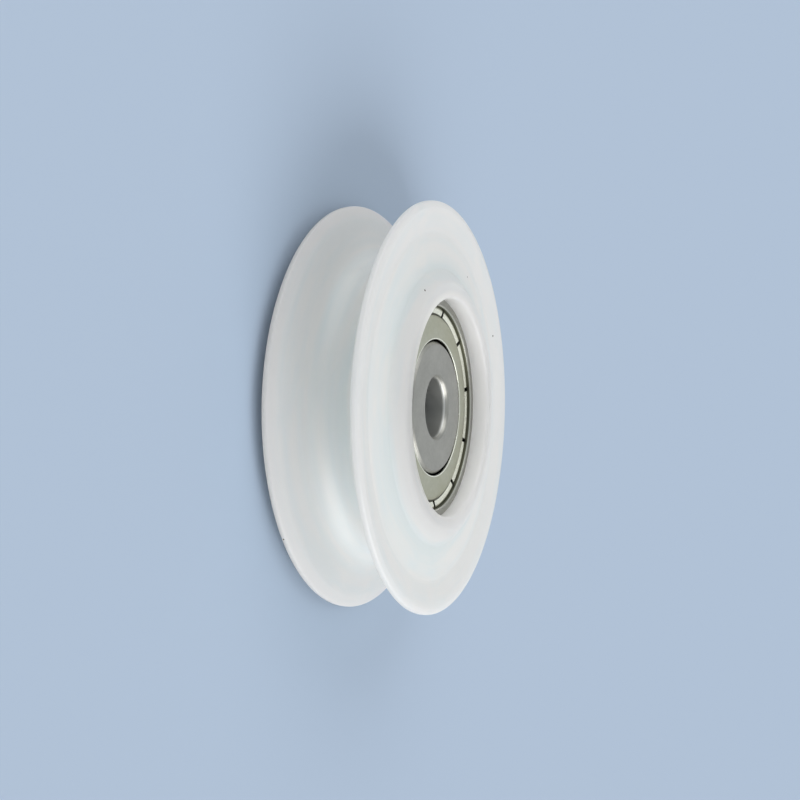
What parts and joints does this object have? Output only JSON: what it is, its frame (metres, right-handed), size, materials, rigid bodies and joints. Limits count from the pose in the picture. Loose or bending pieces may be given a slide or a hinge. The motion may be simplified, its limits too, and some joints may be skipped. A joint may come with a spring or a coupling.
{
  "type": "U groove guide wheel with ball bearing",
  "caption": "Milky plastic guide wheel with a deep U groove, moulded round a shielded steel ball bearing that runs on a plain shaft.",
  "frame": {"origin": "on the axle line, in the plane of the lower hub lip, on which the wheel lies", "axes": "+Z along the bearing axis towards the face that the picture shows; X and Y across the wheel"},
  "size_m": [0.034, 0.034, 0.0092],
  "materials": {
    "wheel_plastic": "milky white moulded nylon, satin, faintly translucent",
    "outer_ring_steel": "ground bearing steel",
    "inner_ring_steel": "ground bearing steel, bright bevels",
    "shield_steel": "stamped sheet steel, warm grey",
    "ball_steel": "polished bearing steel",
    "cage_steel": "pressed sheet steel",
    "rivet_steel": "plain steel"
  },
  "bodies": {
    "inner_race": {"bearing_inner_ring": "inner_ring_steel"},
    "wheel": {"pulley_wheel": "wheel_plastic", "bearing_outer_ring": "outer_ring_steel", "shield_front": "shield_steel", "shield_back": "shield_steel"},
    "cage": {"cage_front": "cage_steel", "cage_back": "cage_steel", "cage_rivets": "rivet_steel"},
    "ball_1_body": {"ball_1": "ball_steel"},
    "ball_2_body": {"ball_2": "ball_steel"},
    "ball_3_body": {"ball_3": "ball_steel"},
    "ball_4_body": {"ball_4": "ball_steel"},
    "ball_5_body": {"ball_5": "ball_steel"},
    "ball_6_body": {"ball_6": "ball_steel"},
    "ball_7_body": {"ball_7": "ball_steel"}
  },
  "joints": [
    {"name": "wheel_spin", "type": "hinge", "parent": "inner_race", "child": "wheel", "pos_m": [0, 0, 0.0046], "axis": [0, 0, 1], "continuous": true},
    {"name": "cage_spin", "type": "hinge", "parent": "inner_race", "child": "cage", "pos_m": [0, 0, 0.0046], "axis": [0, 0, 1], "continuous": true},
    {"name": "ball_1_spin", "type": "hinge", "parent": "cage", "child": "ball_1_body", "pos_m": [0.00655, 0, 0.0046], "axis": [0, 0, 1], "continuous": true},
    {"name": "ball_2_spin", "type": "hinge", "parent": "cage", "child": "ball_2_body", "pos_m": [0.00408, 0.00512, 0.0046], "axis": [0, 0, 1], "continuous": true},
    {"name": "ball_3_spin", "type": "hinge", "parent": "cage", "child": "ball_3_body", "pos_m": [-0.00146, 0.00639, 0.0046], "axis": [0, 0, 1], "continuous": true},
    {"name": "ball_4_spin", "type": "hinge", "parent": "cage", "child": "ball_4_body", "pos_m": [-0.0059, 0.00284, 0.0046], "axis": [0, 0, 1], "continuous": true},
    {"name": "ball_5_spin", "type": "hinge", "parent": "cage", "child": "ball_5_body", "pos_m": [-0.0059, -0.00284, 0.0046], "axis": [0, 0, 1], "continuous": true},
    {"name": "ball_6_spin", "type": "hinge", "parent": "cage", "child": "ball_6_body", "pos_m": [-0.00146, -0.00639, 0.0046], "axis": [0, 0, 1], "continuous": true},
    {"name": "ball_7_spin", "type": "hinge", "parent": "cage", "child": "ball_7_body", "pos_m": [0.00408, -0.00512, 0.0046], "axis": [0, 0, 1], "continuous": true}
  ],
  "couplings": [
    {"joint": "cage_spin", "follows": "wheel_spin", "ratio": 0.63359},
    {"joint": "ball_1_spin", "follows": "wheel_spin", "ratio": 1.7378},
    {"joint": "ball_2_spin", "follows": "wheel_spin", "ratio": 1.7378},
    {"joint": "ball_3_spin", "follows": "wheel_spin", "ratio": 1.7378},
    {"joint": "ball_4_spin", "follows": "wheel_spin", "ratio": 1.7378},
    {"joint": "ball_5_spin", "follows": "wheel_spin", "ratio": 1.7378},
    {"joint": "ball_6_spin", "follows": "wheel_spin", "ratio": 1.7378},
    {"joint": "ball_7_spin", "follows": "wheel_spin", "ratio": 1.7378}
  ]
}
